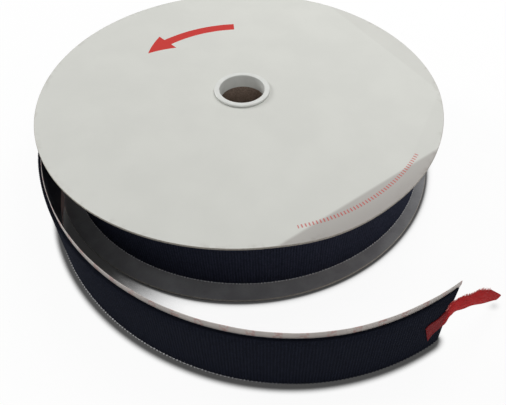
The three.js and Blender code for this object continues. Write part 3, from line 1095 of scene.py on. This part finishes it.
def floor():
    """A white floor. Seen directly, much of its white is its own, and fades into a shadow close to things."""
    half = FLOOR_SIZE / 2
    corners = np.array([(-half, -half, 0), (half, -half, 0), (half, half, 0), (-half, half, 0)])
    paint = Paint("floor_white", Base_Color=FLOOR_WHITE, Roughness=1.0, Specular_IOR_Level=0.0)
    level = 1.0
    for reach, full, gone, depth in SHADOWS:
        fine = {"samples": SHADOW_SAMPLES}
        open_share = paint.add("ShaderNodeAmbientOcclusion", fine, Distance=reach).outputs["AO"]
        level = paint.math("MINIMUM", level, paint.ramp(open_share, full, gone, depth, 1.0))
    glow = paint.add("ShaderNodeEmission", Color=level)
    both = paint.add("ShaderNodeMixShader", Fac=paint.math("MULTIPLY", seen_directly(paint.tree), FLOOR_GLOW))
    paint.give(both.inputs[1], paint.shader.outputs[0])
    paint.give(both.inputs[2], glow.outputs[0])
    paint.give(paint.tree.nodes["Material Output"].inputs["Surface"], both.outputs[0])
    piece("floor", corners, [(0, 1, 2, 3)], [paint.material])


def dress(obj, body, slot, *nodes):
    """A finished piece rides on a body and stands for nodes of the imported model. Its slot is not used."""
    if body:
        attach(obj, body)
    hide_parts(*nodes)
    return obj


def across_hinge(obj, hinge, distance, run):
    """Works out the way ahead across a hinge at a distance along the loose end, over half a run, then bakes
    in the piece's transform.
    """
    heading = loose_places(np.array([distance])).heading[0]
    ahead = np.array([math.cos(heading), math.sin(heading), 0.0])
    axis = np.array(hinges[hinge]["axis"])
    ahead -= (ahead @ axis) * axis
    ahead *= run / 2 / np.linalg.norm(ahead)
    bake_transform(obj)


scene.view_settings.view_transform = "Standard"
camera()
for each in LAMPS:
    lamp(*each)
world()
floor()

tape_black = hook_tape()
tape_materials = [tape_black, adhesive()]
paper = release_paper()

# Loose end
loose = tape_strip("loose_end", 0.0, LOOSE_LENGTH, tape_materials)
dress(loose, "running_end", "hook_tape", "loose_tape")
liner_end = LOOSE_LENGTH + LINER_OVERHANG
liner_distances = np.linspace(0, liner_end, round(liner_end / LINER_STEP))
loose_liner = liner_strip("liner", liner_distances, loose_places(liner_distances), paper)
dress(loose_liner, None, "release_liner", "loose_liner", "liner_flap")
across_hinge(loose_liner, "liner_peel", LOOSE_LENGTH - LINER_FLAP, LINER_FOLD)
tab = pull_tab([red_tape(), red_fibre()])
dress(tab, None, "red_tape", "tab_root", "tab_tail")
across_hinge(tab, "tab_lift", LOOSE_LENGTH, TAB_FOLD)
pale_thread = thread()
lower_thread = stitches("lower_selvedge", STITCH_PITCH, LOOSE_LENGTH - STITCH_PITCH, pale_thread)
dress(lower_thread, "running_end", "hook_tape")

path_places = loose_places(np.linspace(0, LOOSE_LENGTH, PATH_POINTS))

# Last turn on the reel
turn_start = -LAST_TURN * WOUND_RADIUS
last_turn = tape_strip("last_turn", turn_start, 0.0, tape_materials)
dress(last_turn, "running_end", "hook_tape", "turn_tape")
under_distances = np.linspace(turn_start, 0, TURN_LINER_STEPS)
turn_liner = liner_strip("turn_liner_paper", under_distances, reel_places(under_distances), paper)
dress(turn_liner, "running_end", "release_liner", "turn_liner")
stitches_start = STITCH_CLEAR - math.tau * WOUND_RADIUS
turn_thread = stitches("turn_selvedge", stitches_start, -STITCH_PITCH, pale_thread)
dress(turn_thread, "running_end", "hook_tape")

# Reel
dress(wound_pack(tape_black, paper), "reel", "hook_tape", "tape_pack")
dress(core(), "reel", "kraft_board", "core_tube")
lower = flange("lower_disc", lower_disc_low.z, lower_disc_high.z, False)
dress(lower, "reel", "flange_card", "lower_flange")
upper = flange("upper_disc", upper_disc_high.z - CARD, upper_disc_high.z, True)
dress(upper, "reel", "flange_card", "upper_flange")
lower_collar = bush("lower_collar", lower_bush_low.z, lower_bush_high.z, lower_bush_high.x)
dress(lower_collar, "reel", "bush_plastic", "lower_bush")
upper_collar = bush("upper_collar", upper_bush_high.z, upper_bush_low.z, upper_bush_high.x)
dress(upper_collar, "reel", "bush_plastic", "upper_bush")
